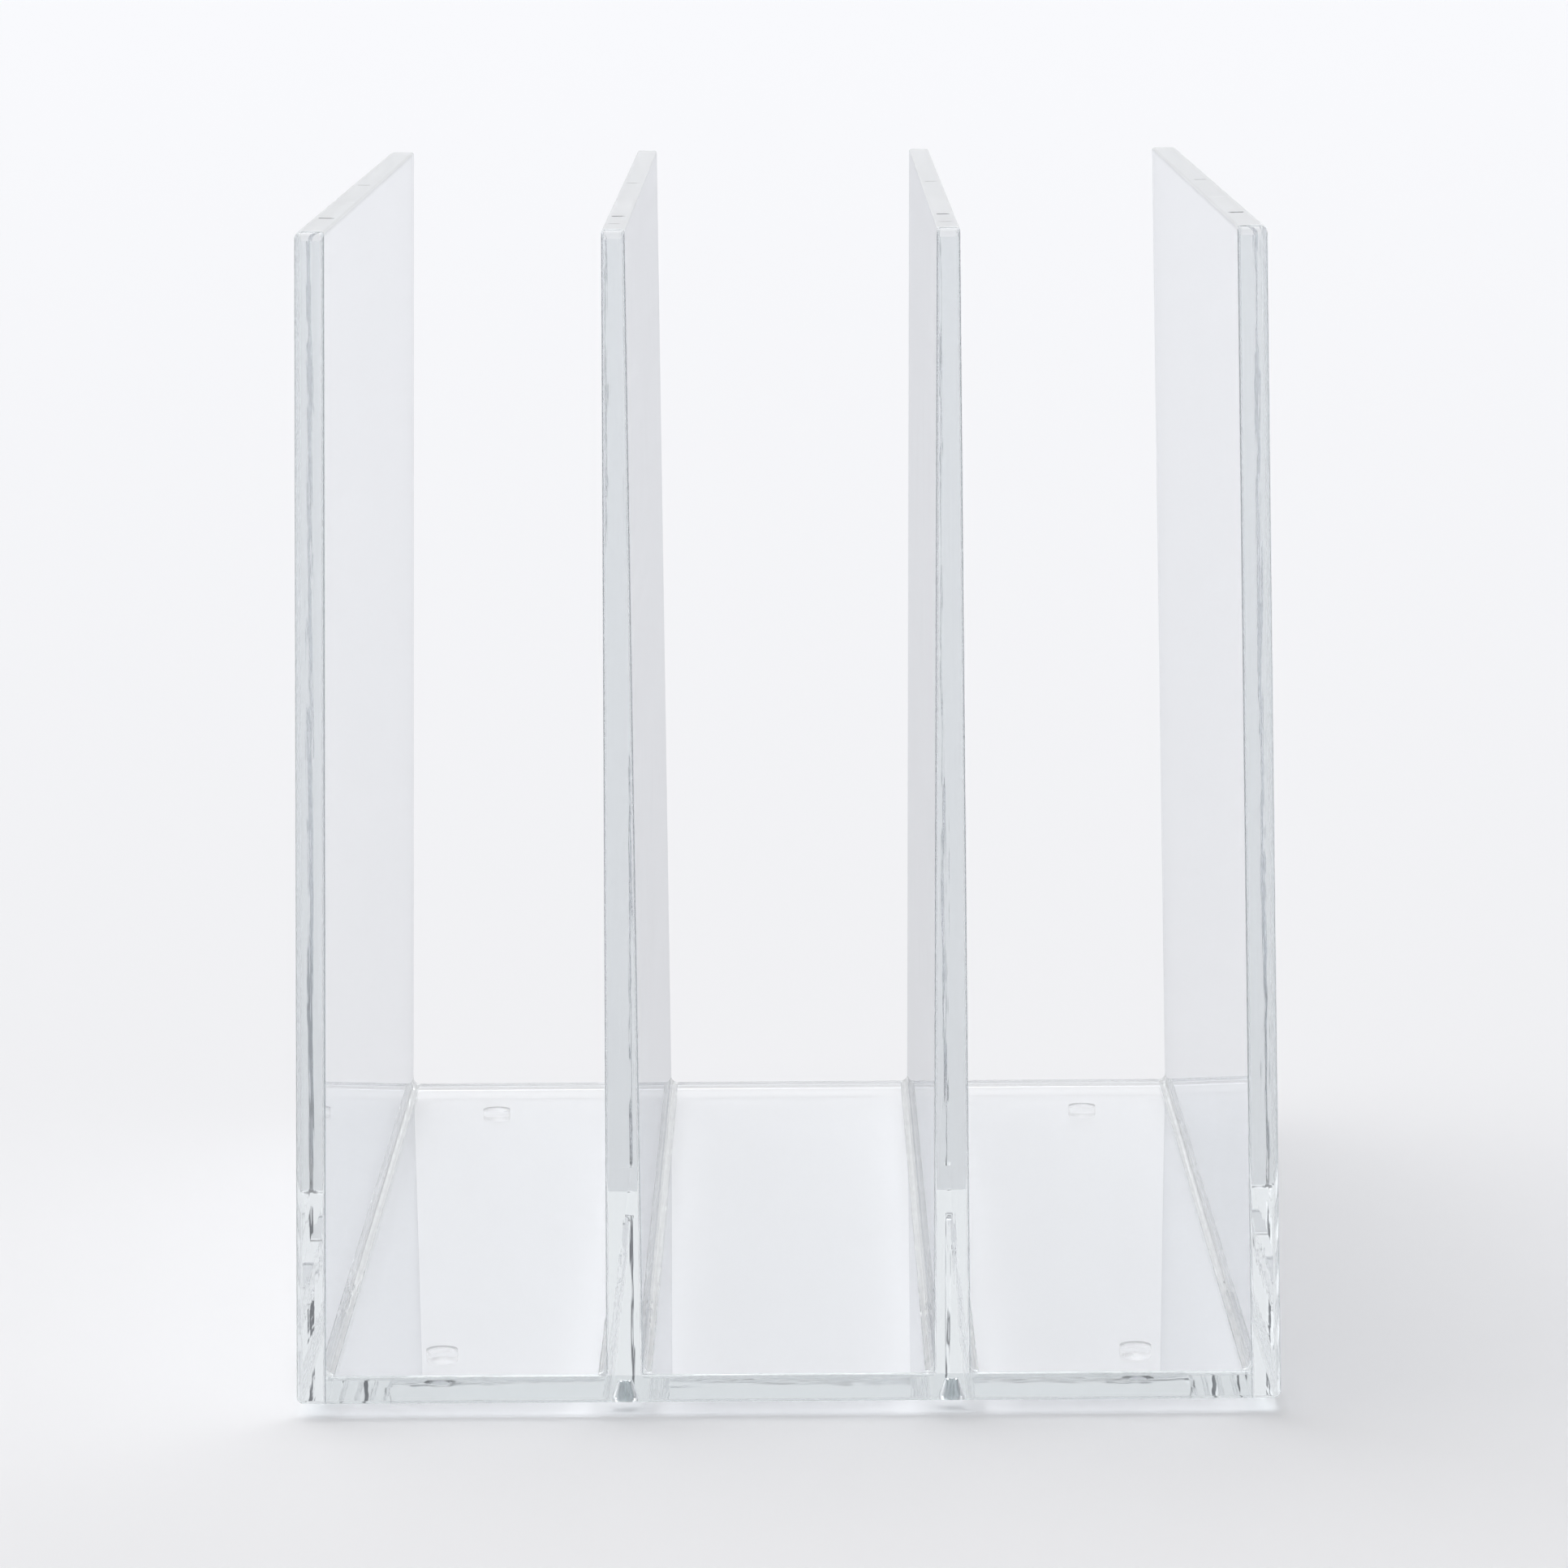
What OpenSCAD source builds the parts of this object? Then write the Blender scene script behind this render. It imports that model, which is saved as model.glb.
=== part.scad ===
// Clear acrylic magazine rack: base plate, two side panels, two dividers,
// cement beads in the inside corners and four round feet.
// Millimetres. +X to the right, +Y to the back, +Z up.
// Origin on the floor, at the middle of the footprint.

/* [Overall] */
// Width over the side panels at the base
body_w = 133; // [110:0.5:180]
// Depth from front edges to back edges
body_d = 210; // [150:1:300]
// Height from the floor to the top edges
body_h = 160; // [110:1:220]

/* [Base plate] */
// Thickness of the base plate
base_t = 3.8; // [3.2:0.1:6]
// Rounding of the base plate's front and back edges
base_edge_r = 0.5; // [0.2:0.1:0.8]

/* [Side panels] */
// Thickness of a side panel
side_t = 4; // [3:0.1:6]
// How far the top of a side panel leans in over its height
side_lean = 2.4; // [0:0.1:3]
// Rounding of a side panel's outer edges
side_outer_r = 0.9; // [0.3:0.1:1.2]
// Rounding of a side panel's inner edges
side_inner_r = 0.4; // [0.2:0.1:0.8]

/* [Dividers] */
// Distance of each divider from the middle of the rack
divider_x = 22.1; // [17:0.1:28]
// Thickness of a divider at its foot
divider_foot_t = 5; // [4:0.1:6]
// Thickness of a divider at its top edge
divider_top_t = 3.1; // [2.5:0.1:3.9]
// Rounding of a divider's upright edges
divider_edge_r = 0.4; // [0.2:0.1:0.8]

/* [Panel corners] */
// Rounding of the top front and top back corners of every upright panel
top_corner_r = 1.2; // [0.5:0.1:3]
// Rounding of the bottom front and bottom back corners of a side panel
low_corner_r = 0.5; // [0.2:0.1:0.8]

/* [Cement beads] */
// Width and height of a bead from its corner
bead_leg = 1.1; // [0.5:0.1:1.5]
// How far the beads stop short of the front and back edges
bead_inset = 0.6; // [0.5:0.1:3]

/* [Feet] */
// Diameter of a foot
foot_d = 4.4; // [3:0.1:8]
// Height of a foot
foot_h = 1.8; // [1:0.1:3]
// Rounding of a foot's lower edge
foot_edge_r = 0.4; // [0.1:0.1:0.6]
// Distance of the feet from the middle of the rack
foot_x = 47.8; // [34:0.1:48]
// Distance of the feet from the front and back edges
foot_inset = 19.5; // [12:0.5:30]

/* [Underside pits] */
// Diameter of a pit at the underside
pit_mouth_d = 3.9; // [3:0.1:5]
// Diameter of a pit at its inner end
pit_end_d = 1.9; // [1:0.1:2.9]
// Depth of a pit
pit_depth = 2.7; // [1:0.1:2.8]
// Distance of the pits from the front edge
pit_inset = 3.6; // [3.4:0.1:8]

/* [Colours] */
// Colour of the base plate
base_colour = [0.88, 0.92, 0.94];
// Colour of the side panels
side_colour = [0.84, 0.90, 0.93];
// Colour of the dividers
divider_colour = [0.80, 0.87, 0.92];
// Colour of the cement beads
bead_colour = [0.72, 0.80, 0.86];
// Colour of the feet
foot_colour = [0.64, 0.70, 0.76];

/* [Hidden] */
$fn = 48;

half_w = body_w / 2;
half_d = body_d / 2;
base_z = foot_h;
base_top_z = base_z + base_t;
panel_h = body_h - base_z;
lean = atan(side_lean / panel_h);
// A leaning panel's rounded lower corner, not its flat face, sets the rack's width
panel_x = half_w - (side_t - side_outer_r) * cos(lean) + side_outer_r * sin(lean) - side_outer_r;
// Its rounded upper corner sets the height
panel_len = (panel_h - side_outer_r - (side_t - side_outer_r) * sin(lean)) / cos(lean) + side_outer_r;
// A base plate end slopes with the panel that stands against it
base_low_x = panel_x;
base_high_x = panel_x - base_t * tan(lean);
divider_h = body_h - base_top_z;
taper = atan((divider_foot_t - divider_top_t) / 2 / divider_h);
bead_len = body_d - 2 * bead_inset;
// Distance from a bead's long side to the centre of its hollow face, as a share of that side
bead_hollow = 1;
// Extra reach of a cutting shape beyond the solid that it cuts
over = 1;
// Length of a cutting bar, far more than a panel is thick
bar_len = 40;

// Removes the corner of a drawing at the origin, leaving a quarter circle of radius r
module corner_bit(r) {
    difference() {
        translate([-over, -over]) square(r + over);
        translate([r, r]) circle(r = r);
    }
}

// Rectangle from the origin with its own rounding at each corner: lower left, lower right,
// upper right and upper left. A rounding of 0 leaves that corner square.
module rounded_rect(w, h, ll, lr, ur, ul) {
    difference() {
        square([w, h]);
        if (ll > 0) corner_bit(ll);
        if (lr > 0) translate([w, 0]) rotate(90) corner_bit(lr);
        if (ur > 0) translate([w, h]) rotate(180) corner_bit(ur);
        if (ul > 0) translate([0, h]) rotate(270) corner_bit(ul);
    }
}

// Carries a drawing of X and Z along Y over the length given, centred on Y = 0
module along_y(length) {
    translate([0, length / 2, 0]) rotate([90, 0, 0]) linear_extrude(height = length) children();
}

// Carries a drawing of Y and Z along X over the length given, centred on X = 0
module along_x(length) {
    translate([-length / 2, 0, 0])
        rotate([90, 0, 90]) linear_extrude(height = length) children();
}

module base_section() {
    polygon([[-base_low_x, base_z], [base_low_x, base_z],
             [base_high_x, base_top_z], [-base_high_x, base_top_z]]);
}

module pit(side) {
    translate([side * divider_x, pit_inset - half_d, base_z])
        cylinder(h = pit_depth, d1 = pit_mouth_d, d2 = pit_end_d);
}

module base_plate() {
    color(base_colour)
    difference() {
        intersection() {
            along_y(body_d) base_section();
            along_x(body_w)
                translate([-half_d, base_z])
                    rounded_rect(body_d, base_t, base_edge_r, base_edge_r, base_edge_r, base_edge_r);
        }
        pit(-1);
        pit(1);
    }
}

// A side panel standing upright on Z = 0, with its inner face on X = 0 and its body at X < 0
module upright_side() {
    intersection() {
        translate([-side_t, -half_d, 0])
            linear_extrude(height = panel_len)
                rounded_rect(side_t, body_d, side_outer_r, side_inner_r, side_inner_r, side_outer_r);
        along_y(body_d)
            translate([-side_t, 0])
                rounded_rect(side_t, panel_len, side_outer_r, 0, side_inner_r, side_outer_r);
        along_x(bar_len)
            translate([-half_d, 0])
                rounded_rect(body_d, panel_len, low_corner_r, low_corner_r, top_corner_r, top_corner_r);
    }
}

module side_panel() {
    translate([-panel_x, 0, base_z]) rotate([0, lean, 0]) upright_side();
}

module left_side_panel() {
    color(side_colour) side_panel();
}

module right_side_panel() {
    color(side_colour) mirror([1, 0, 0]) side_panel();
}

// Half of a divider's shape: all that lies inwards of its left face
module divider_side() {
    translate([-divider_foot_t / 2, 0, base_top_z])
        rotate([0, taper, 0])
            translate([0, -half_d, -over])
                linear_extrude(height = divider_h + 2 * over)
                    rounded_rect(bar_len / 2, body_d, divider_edge_r, 0, 0, divider_edge_r);
}

module divider() {
    intersection() {
        divider_side();
        mirror([1, 0, 0]) divider_side();
        along_x(bar_len)
            translate([-half_d, base_top_z])
                rounded_rect(body_d, divider_h, 0, 0, top_corner_r, top_corner_r);
    }
}

module left_divider() {
    color(divider_colour) translate([-divider_x, 0, 0]) divider();
}

module right_divider() {
    color(divider_colour) translate([divider_x, 0, 0]) divider();
}

// A bead in the corner at the origin, between the plate along +X and a wall that leaves
// the vertical by the angle given, away from the bead when the angle is positive
module bead(wall_angle) {
    on_plate = [bead_leg, 0];
    on_wall = [-bead_leg * sin(wall_angle), bead_leg * cos(wall_angle)];
    middle = (on_plate + on_wall) / 2;
    chord = on_wall - on_plate;
    hollow = middle + bead_hollow * [chord[1], -chord[0]];
    along_y(bead_len)
        difference() {
            polygon([[0, 0], on_plate, hollow, on_wall]);
            translate(hollow) circle(r = norm(hollow - on_plate));
        }
}

module side_bead() {
    color(bead_colour) translate([-base_high_x, 0, base_top_z]) bead(-lean);
}

module left_side_bead() {
    side_bead();
}

module right_side_bead() {
    mirror([1, 0, 0]) side_bead();
}

// A bead on the right of a divider whose middle is at the distance given from the rack's middle
module divider_bead(middle_x) {
    color(bead_colour) translate([middle_x + divider_foot_t / 2, 0, base_top_z]) bead(taper);
}

module left_divider_outer_bead() {
    mirror([1, 0, 0]) divider_bead(divider_x);
}

module left_divider_inner_bead() {
    divider_bead(-divider_x);
}

module right_divider_inner_bead() {
    mirror([1, 0, 0]) divider_bead(-divider_x);
}

module right_divider_outer_bead() {
    divider_bead(divider_x);
}

module foot(side_x, side_y) {
    color(foot_colour)
    translate([side_x * foot_x, side_y * (half_d - foot_inset), 0])
        rotate_extrude()
            rounded_rect(foot_d / 2, foot_h, 0, foot_edge_r, 0, 0);
}

module front_left_foot() {
    foot(-1, -1);
}

module front_right_foot() {
    foot(1, -1);
}

module back_left_foot() {
    foot(-1, 1);
}

module back_right_foot() {
    foot(1, 1);
}

base_plate();
left_side_panel();
right_side_panel();
left_divider();
right_divider();
left_side_bead();
right_side_bead();
left_divider_outer_bead();
left_divider_inner_bead();
right_divider_inner_bead();
right_divider_outer_bead();
front_left_foot();
front_right_foot();
back_left_foot();
back_right_foot();
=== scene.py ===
"""Clear acrylic magazine rack with three open compartments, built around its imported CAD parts.

Lengths are in metres and angles in radians. +X is to the right, +Y to the back and +Z up, with the
origin on the floor under the middle of the rack, as in the CAD model.
"""

import logging
import math
from abc import ABC, abstractmethod
from dataclasses import dataclass, field
from enum import Enum
from functools import cache

import bmesh
import bpy
import numpy as np
from mathutils import Matrix, Vector


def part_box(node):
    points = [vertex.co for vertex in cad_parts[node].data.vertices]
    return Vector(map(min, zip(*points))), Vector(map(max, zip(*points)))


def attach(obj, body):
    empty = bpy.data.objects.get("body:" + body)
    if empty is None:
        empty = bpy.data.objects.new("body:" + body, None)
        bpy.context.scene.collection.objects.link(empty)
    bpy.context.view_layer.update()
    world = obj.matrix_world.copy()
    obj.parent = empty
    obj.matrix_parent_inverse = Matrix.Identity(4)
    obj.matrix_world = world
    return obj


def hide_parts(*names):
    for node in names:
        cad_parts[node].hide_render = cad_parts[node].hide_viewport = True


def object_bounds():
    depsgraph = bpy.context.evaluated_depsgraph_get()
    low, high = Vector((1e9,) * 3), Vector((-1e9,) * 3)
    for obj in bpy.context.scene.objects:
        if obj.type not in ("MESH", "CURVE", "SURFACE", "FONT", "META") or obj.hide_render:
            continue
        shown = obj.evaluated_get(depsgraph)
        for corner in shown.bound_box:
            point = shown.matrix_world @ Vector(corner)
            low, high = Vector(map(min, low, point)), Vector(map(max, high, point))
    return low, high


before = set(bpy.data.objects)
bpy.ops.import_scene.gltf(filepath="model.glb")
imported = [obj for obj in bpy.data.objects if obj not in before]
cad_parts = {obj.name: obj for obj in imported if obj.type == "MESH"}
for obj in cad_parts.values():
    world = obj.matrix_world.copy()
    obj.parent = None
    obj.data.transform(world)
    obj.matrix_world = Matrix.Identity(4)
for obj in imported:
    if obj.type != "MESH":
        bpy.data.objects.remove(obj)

CAD_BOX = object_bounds()
LOG = logging.getLogger("magazine_rack")
BODY = "root"
MM = 0.001
# Chords in the quarter circle of a rounded corner.
CORNER_STEPS = 6
# Decimal places that grid lines are rounded to, so that those of two neighbouring patches meet.
PLACES = 9
# Room for rounding errors when two lengths are compared.
TOLERANCE = 1e-6
# Octaves in every noise pattern.
OCTAVES = 2.0

Colour = tuple[float, float, float]


class Sign(Enum):
    """A choice between the two directions of an axis, as the sign along it."""

    @property
    def word(self) -> str:
        """The choice as it stands in the names of pieces."""
        return self.name.lower()


class Side(Sign):
    """Which side of the rack a piece is on, as the sign of its X."""

    LEFT = -1
    RIGHT = 1


class End(Sign):
    """Which end of the rack a piece is at, as the sign of its Y."""

    FRONT = -1
    BACK = 1


class Slot(Enum):
    """The record's material slots."""

    ACRYLIC = "clear_acrylic"
    CEMENT = "clear_cement"
    FOOT = "clear_foot"


class Skin(Enum):
    """What a strip of an acrylic piece's surface is, as its place in the piece's materials.

    LIGHTER_EDGE is an edge lighter than the others: the rounding of an upright's top corners, whose
    near-clear tint is a painted highlight, or the base plate's back edge, which keeps the uprights'
    edge tint while the front edge's tint is darkened as painted shade. RIM is a dark strip
    of painted shade where a face or top meets its rounding. MARK is a line left across a top edge.
    """

    FACE = 0
    EDGE = 1
    BOND = 2
    RIM = 3
    LIGHTER_EDGE = 4
    MARK = 5


class SmallSkin(Enum):
    """What a strip of a bead's or foot's surface is, as its place in the piece's materials."""

    OPEN = 0
    BOND = 1


# ---------------- finishes


@dataclass(frozen=True)
class Graph:
    """Adds nodes to a node tree and links them.

    Attributes:
        tree: The node tree.
    """

    tree: bpy.types.NodeTree

    def feed(self, node: bpy.types.Node, inputs: dict[str | int, object]) -> None:
        """Sets a node's inputs.

        Args:
            node: The node.
            inputs: For each input's name or place, its value or the socket that is linked to it.
        """
        for name, value in inputs.items():
            if isinstance(value, bpy.types.NodeSocket):
                self.tree.links.new(value, node.inputs[name])
            else:
                node.inputs[name].default_value = value

    def add(
        self, kind: str, inputs: dict[str | int, object] | None = None, **settings: str
    ) -> bpy.types.Node:
        """Adds a node.

        Args:
            kind: The node's type, less the word that all shader nodes start with.
            inputs: What its inputs are fed.
            settings: Its choices, which are made first because they change what inputs it has.

        Returns:
            The node.
        """
        node = self.tree.nodes.new(f"ShaderNode{kind}")
        for name, value in settings.items():
            setattr(node, name, value)
        self.feed(node, inputs or {})
        return node

    def place(self, kind: str) -> bpy.types.NodeSocket:
        """Gives the coordinates of one kind."""
        return self.add("TexCoord").outputs[kind]


def new_material(name: str) -> tuple[bpy.types.Material, Graph, bpy.types.Node]:
    """Makes a node material.

    Args:
        name: Its name.

    Returns:
        The material, its graph and its shader.
    """
    made = bpy.data.materials.new(name)
    made.use_nodes = True
    return made, Graph(made.node_tree), made.node_tree.nodes["Principled BSDF"]


@dataclass(frozen=True)
class Streaks:
    """Shallow flow lines in a clear surface, longest along the axis with the smallest scale.

    Attributes:
        scale: Bumps per metre along X, Y and Z.
        depth: Height of the bumps.
    """

    scale: tuple[float, float, float]
    depth: float


@dataclass(frozen=True)
class ClearFinish:
    """A clear plastic surface: smooth, refracting, faintly tinted and very slightly uneven.

    Attributes:
        name: Name of the material.
        tint: Colour whose square root one crossing of the surface lets through.
        ior: Index of refraction.
        roughness: Roughness where the surface is at its smoothest.
        haze: Extra roughness where handling has dulled the surface most.
        haze_scale: Patches of haze per metre.
        haze_range: Noise at which the haze begins, and at which it is at its most.
        film: Colour that a film of handling marks lets through head-on, if there is one; it holds
            back more at a flat angle, where light goes further in it.
        film_share: Share of the surface that the film covers.
        streaks: The flow lines, from the broadest to the finest.
    """

    name: str
    tint: Colour
    ior: float = 1.49
    roughness: float = 0.0
    haze: float = 0.02
    haze_scale: float = 60.0
    haze_range: tuple[float, float] = (0.45, 0.75)
    film: Colour | None = None
    film_share: float = 0.22
    streaks: tuple[Streaks, ...] = ()

    @cache
    def material(self) -> bpy.types.Material:
        """Builds the node material, once.

        Returns:
            The material, whose patterns read Object coordinates in metres.
        """
        made, graph, shader = new_material(self.name)
        clear = {"Base Color": (*self.tint, 1.0), "Transmission Weight": 1.0, "IOR": self.ior}
        graph.feed(shader, clear | self._film(graph) | self._haze(graph) | self._bumps(graph))
        return made

    def _film(self, graph: Graph) -> dict[str, object]:
        """Tints the coat where it is seen from outside, and leaves it clear from inside.

        Args:
            graph: The material's graph.

        Returns:
            The shader's inputs for the film, if there is one.
        """
        if self.film is None:
            return {}
        inside = graph.add("NewGeometry").outputs["Backfacing"]
        colours = {"A": (*self.film, 1.0), "B": (1.0, 1.0, 1.0, 1.0)}
        tint = graph.add("Mix", {"Factor": inside} | colours, data_type="RGBA").outputs["Result"]
        return {"Coat Weight": self.film_share, "Coat IOR": 1.0, "Coat Tint": tint}

    def _haze(self, graph: Graph) -> dict[str, object]:
        """Spreads soft patches of noise over the range of roughness.

        Args:
            graph: The material's graph.

        Returns:
            The shader's input for the haze.
        """
        place = graph.place("Object")
        noise = graph.add("TexNoise", {"Vector": place, "Scale": self.haze_scale, "Detail": OCTAVES})
        spread = {
            "Value": noise.outputs["Fac"],
            "From Min": self.haze_range[0],
            "From Max": self.haze_range[1],
            "To Min": self.roughness,
            "To Max": self.roughness + self.haze,
        }
        return {"Roughness": graph.add("MapRange", spread).outputs["Result"]}

    def _bumps(self, graph: Graph) -> dict[str, object]:
        """Chains one bump per set of streaks.

        Args:
            graph: The material's graph.

        Returns:
            The shader's input for the bumps, if there are any.
        """
        last = {}
        for streaks in self.streaks:
            place = {"Vector": graph.place("Object"), "Scale": streaks.scale}
            spaced = graph.add("Mapping", place)
            grain = {"Vector": spaced.outputs["Vector"], "Scale": 1.0, "Detail": OCTAVES}
            height = graph.add("TexNoise", grain).outputs["Fac"]
            bump = {"Height": height, "Strength": 1.0, "Distance": streaks.depth}
            last = {"Normal": graph.add("Bump", bump | last).outputs["Normal"]}
        return last


@dataclass(frozen=True)
class BondFinish:
    """A cemented interface inside clear plastic, which light crosses without bending.

    Attributes:
        name: Name of the material.
        tint: Colour of the dried cement, which shows only where it holds light back.
        solidity: Share of the light that the interface holds back.
        roughness: Roughness of the dried cement.
    """

    name: str = "bonded_interface"
    tint: Colour = (0.75, 0.80, 0.82)
    solidity: float = 0.0
    roughness: float = 0.3

    @cache
    def material(self) -> bpy.types.Material:
        """Builds the node material, once.

        Returns:
            The material.
        """
        made, graph, shader = new_material(self.name)
        cement = {"Base Color": (*self.tint, 1.0), "Alpha": self.solidity}
        graph.feed(shader, cement | {"Roughness": self.roughness})
        return made


FACE = ClearFinish("acrylic_face", (0.93, 0.94, 0.952), film=(0.968, 0.971, 0.9755))
UPRIGHT_EDGE = ClearFinish(
    "acrylic_upright_edge",
    (0.77, 0.80, 0.815),
    film=(0.945, 0.95, 0.955),
    streaks=(
        Streaks((330.0, 20.0, 90.0), 0.014 * MM),
        Streaks((900.0, 20.0, 20.0), 0.006 * MM),
        Streaks((3000.0, 60.0, 60.0), 0.0012 * MM),
    ),
)
# The edge's own tint, darkened further as painted shade: a darker copy of the uprights' edge finish,
# for the base plate's front edge.
BASE_EDGE_TINT_AND_SHADE = ClearFinish(
    "acrylic_base_edge_tint_and_shade",
    (0.56, 0.60, 0.615),
    streaks=(
        Streaks((160.0, 20.0, 330.0), 0.02 * MM),
        Streaks((60.0, 20.0, 900.0), 0.008 * MM),
        Streaks((120.0, 60.0, 3000.0), 0.0012 * MM),
    ),
)
# Dark tint painted as shade: the dark outline that refraction draws where a face or top meets its
# rounding.
RIM = ClearFinish("acrylic_painted_dark_outline", (0.30, 0.33, 0.345))
MARK = ClearFinish("acrylic_scratch", (0.01, 0.01, 0.012), roughness=0.2)
# Near-clear tint painted as a highlight on the rounding of the upright panels' top corners.
TOP_CORNER_HIGHLIGHT = ClearFinish("acrylic_top_corner", (0.985, 0.99, 0.995))
BOND = BondFinish()
CEMENT = ClearFinish(
    "clear_cement_bead",
    (0.60, 0.63, 0.64),
    ior=1.47,
    roughness=0.02,
    haze=0.05,
    haze_scale=500.0,
    streaks=(Streaks((600.0, 90.0, 600.0), 0.04 * MM),),
)
FOOT = ClearFinish(
    "clear_foot",
    (0.985, 0.985, 0.985),
    ior=1.3,
    roughness=0.2,
    haze=0.1,
    haze_scale=700.0,
    streaks=(Streaks((700.0, 700.0, 700.0), 0.02 * MM),),
)


# The finishes of each kind of piece, in the order of Skin or SmallSkin.
UPRIGHT_SKINS = (FACE, UPRIGHT_EDGE, BOND, RIM, TOP_CORNER_HIGHLIGHT, MARK)
BASE_SKINS = (FACE, BASE_EDGE_TINT_AND_SHADE, BOND, RIM, UPRIGHT_EDGE)
CEMENT_SKINS = (CEMENT, BOND)
FOOT_SKINS = (FOOT, BOND)


# ---------------- mesh building


def quarter(steps: int) -> np.ndarray:
    """Angles of a quarter turn from 0 to 90 degrees, both ends included."""
    return np.linspace(0.0, math.pi / 2, steps + 1)


def grid_lines(values: list[float]) -> np.ndarray:
    """Sorts the places of grid lines, rounded, and keeps each once."""
    return np.unique(np.round(np.array(values), PLACES))


def corner_arc(centre: tuple[float, float], radius: float, start: int) -> np.ndarray:
    """Quarter circle, turning to the left.

    A point is the centre plus the radius times (cos, sin) of an angle that runs over a quarter turn
    from the start.

    Args:
        centre: The circle's centre.
        radius: The circle's radius.
        start: The first angle, in quarter turns.

    Returns:
        (n, 2) points.
    """
    turn = quarter(CORNER_STEPS) + start * math.pi / 2
    return np.array(centre) + radius * np.stack([np.cos(turn), np.sin(turn)], axis=1)


@dataclass
class Shell:
    """Gathers patches of surface and joins them into one closed mesh.

    Attributes:
        name: Name of the piece.
        finishes: The piece's finishes, in the order of the skins' values.
        weld: Distance under which two corners are one.
    """

    name: str
    finishes: tuple[ClearFinish | BondFinish, ...]
    weld: float = 1e-7
    _points: list[np.ndarray] = field(default_factory=list)
    _quads: list[np.ndarray] = field(default_factory=list)
    _quad_skins: list[np.ndarray] = field(default_factory=list)
    _quad_smooth: list[np.ndarray] = field(default_factory=list)
    _rings: list[tuple[np.ndarray, int]] = field(default_factory=list)
    _count: int = 0

    def _keep(self, points: np.ndarray) -> int:
        """Stores corners.

        Args:
            points: (..., 3) corners.

        Returns:
            The index of the first.
        """
        first = self._count
        self._points.append(points.reshape(-1, 3))
        self._count += points.size // 3
        return first

    def grid(
        self,
        points: np.ndarray,
        skin: np.ndarray | Enum,
        smooth: np.ndarray | bool = False,
        keep: np.ndarray | None = None,
    ) -> None:
        """Adds a surface of two parameters: a quad between each four neighbours on a grid.

        Args:
            points: (rows, columns, 3) corners.
            skin: One skin, or the value of one for each quad.
            smooth: Whether the quads are smooth-shaded, one value or one for each.
            keep: Which quads to add, if not all.
        """
        rows, columns = points.shape[:2]
        index = self._keep(points) + np.arange(rows * columns).reshape(rows, columns)
        quads = np.stack([index[:-1, :-1], index[1:, :-1], index[1:, 1:], index[:-1, 1:]], axis=2)
        shape = (rows - 1, columns - 1)
        skins = np.broadcast_to(skin.value if isinstance(skin, Enum) else skin, shape)
        wanted = np.ones(shape, bool) if keep is None else keep
        self._quads.append(quads[wanted])
        self._quad_skins.append(skins[wanted])
        self._quad_smooth.append(np.broadcast_to(smooth, shape)[wanted])

    def loop(
        self, points: np.ndarray, skin: np.ndarray | Enum, smooth: np.ndarray | bool = False
    ) -> None:
        """Adds a grid whose last column is joined to its first.

        Args:
            points: (rows, columns, 3) corners.
            skin: One skin, or the value of one for each quad.
            smooth: Whether the quads are smooth-shaded, one value or one for each.
        """
        self.grid(np.concatenate([points, points[:, :1]], axis=1), skin, smooth)

    def ring(self, points: np.ndarray, skin: Enum) -> None:
        """Adds one flat face inside a closed ring of corners."""
        first = self._keep(points)
        self._rings.append((first + np.arange(len(points)), skin.value))

    def move(self, place: Matrix) -> None:
        """Moves everything gathered so far.

        Args:
            place: The turn and shift.
        """
        turn = np.array(place.to_3x3())
        shift = np.array(place.translation)
        self._points = [p @ turn.T + shift for p in self._points]

    def build(self) -> bpy.types.Object:
        """Welds the patches into one mesh whose faces point outwards.

        Corners are rounded to the weld distance and equal ones become one. A quad that has lost a
        corner becomes a triangle, and one that has lost two is left out.

        Returns:
            The object, at the origin, unturned and unscaled.
        """
        points = np.concatenate(self._points)
        _, first, same = np.unique(
            np.round(points / self.weld).astype(np.int64),
            axis=0,
            return_index=True,
            return_inverse=True,
        )
        same = same.reshape(-1)
        quads = same[np.concatenate(self._quads)]
        skins = np.concatenate(self._quad_skins)
        smooth = np.concatenate(self._quad_smooth)
        lost = quads == np.roll(quads, -1, axis=1)
        whole = lost.sum(axis=1) == 0
        three = lost.sum(axis=1) == 1
        triangles = quads[three][~lost[three]].reshape(-1, 3)
        rings = [_without_repeats(same[ring]) for ring, _ in self._rings]
        faces = quads[whole].tolist() + triangles.tolist() + rings
        face_skins = np.concatenate([skins[whole], skins[three], [s for _, s in self._rings]])
        face_smooth = np.concatenate([smooth[whole], smooth[three], np.zeros(len(rings))])
        mesh = bpy.data.meshes.new(self.name)
        mesh.from_pydata(points[first].tolist(), [], faces)
        mesh.polygons.foreach_set("material_index", face_skins.astype(np.int32))
        mesh.polygons.foreach_set("use_smooth", face_smooth.astype(bool))
        for finish in self.finishes:
            mesh.materials.append(finish.material())
        _face_outwards(mesh)
        made = bpy.data.objects.new(self.name, mesh)
        bpy.context.collection.objects.link(made)
        return made


def _without_repeats(ring: np.ndarray) -> list[int]:
    """A closed ring's corners with each run of equal ones cut to one."""
    return ring[ring != np.roll(ring, 1)].tolist()


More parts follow.
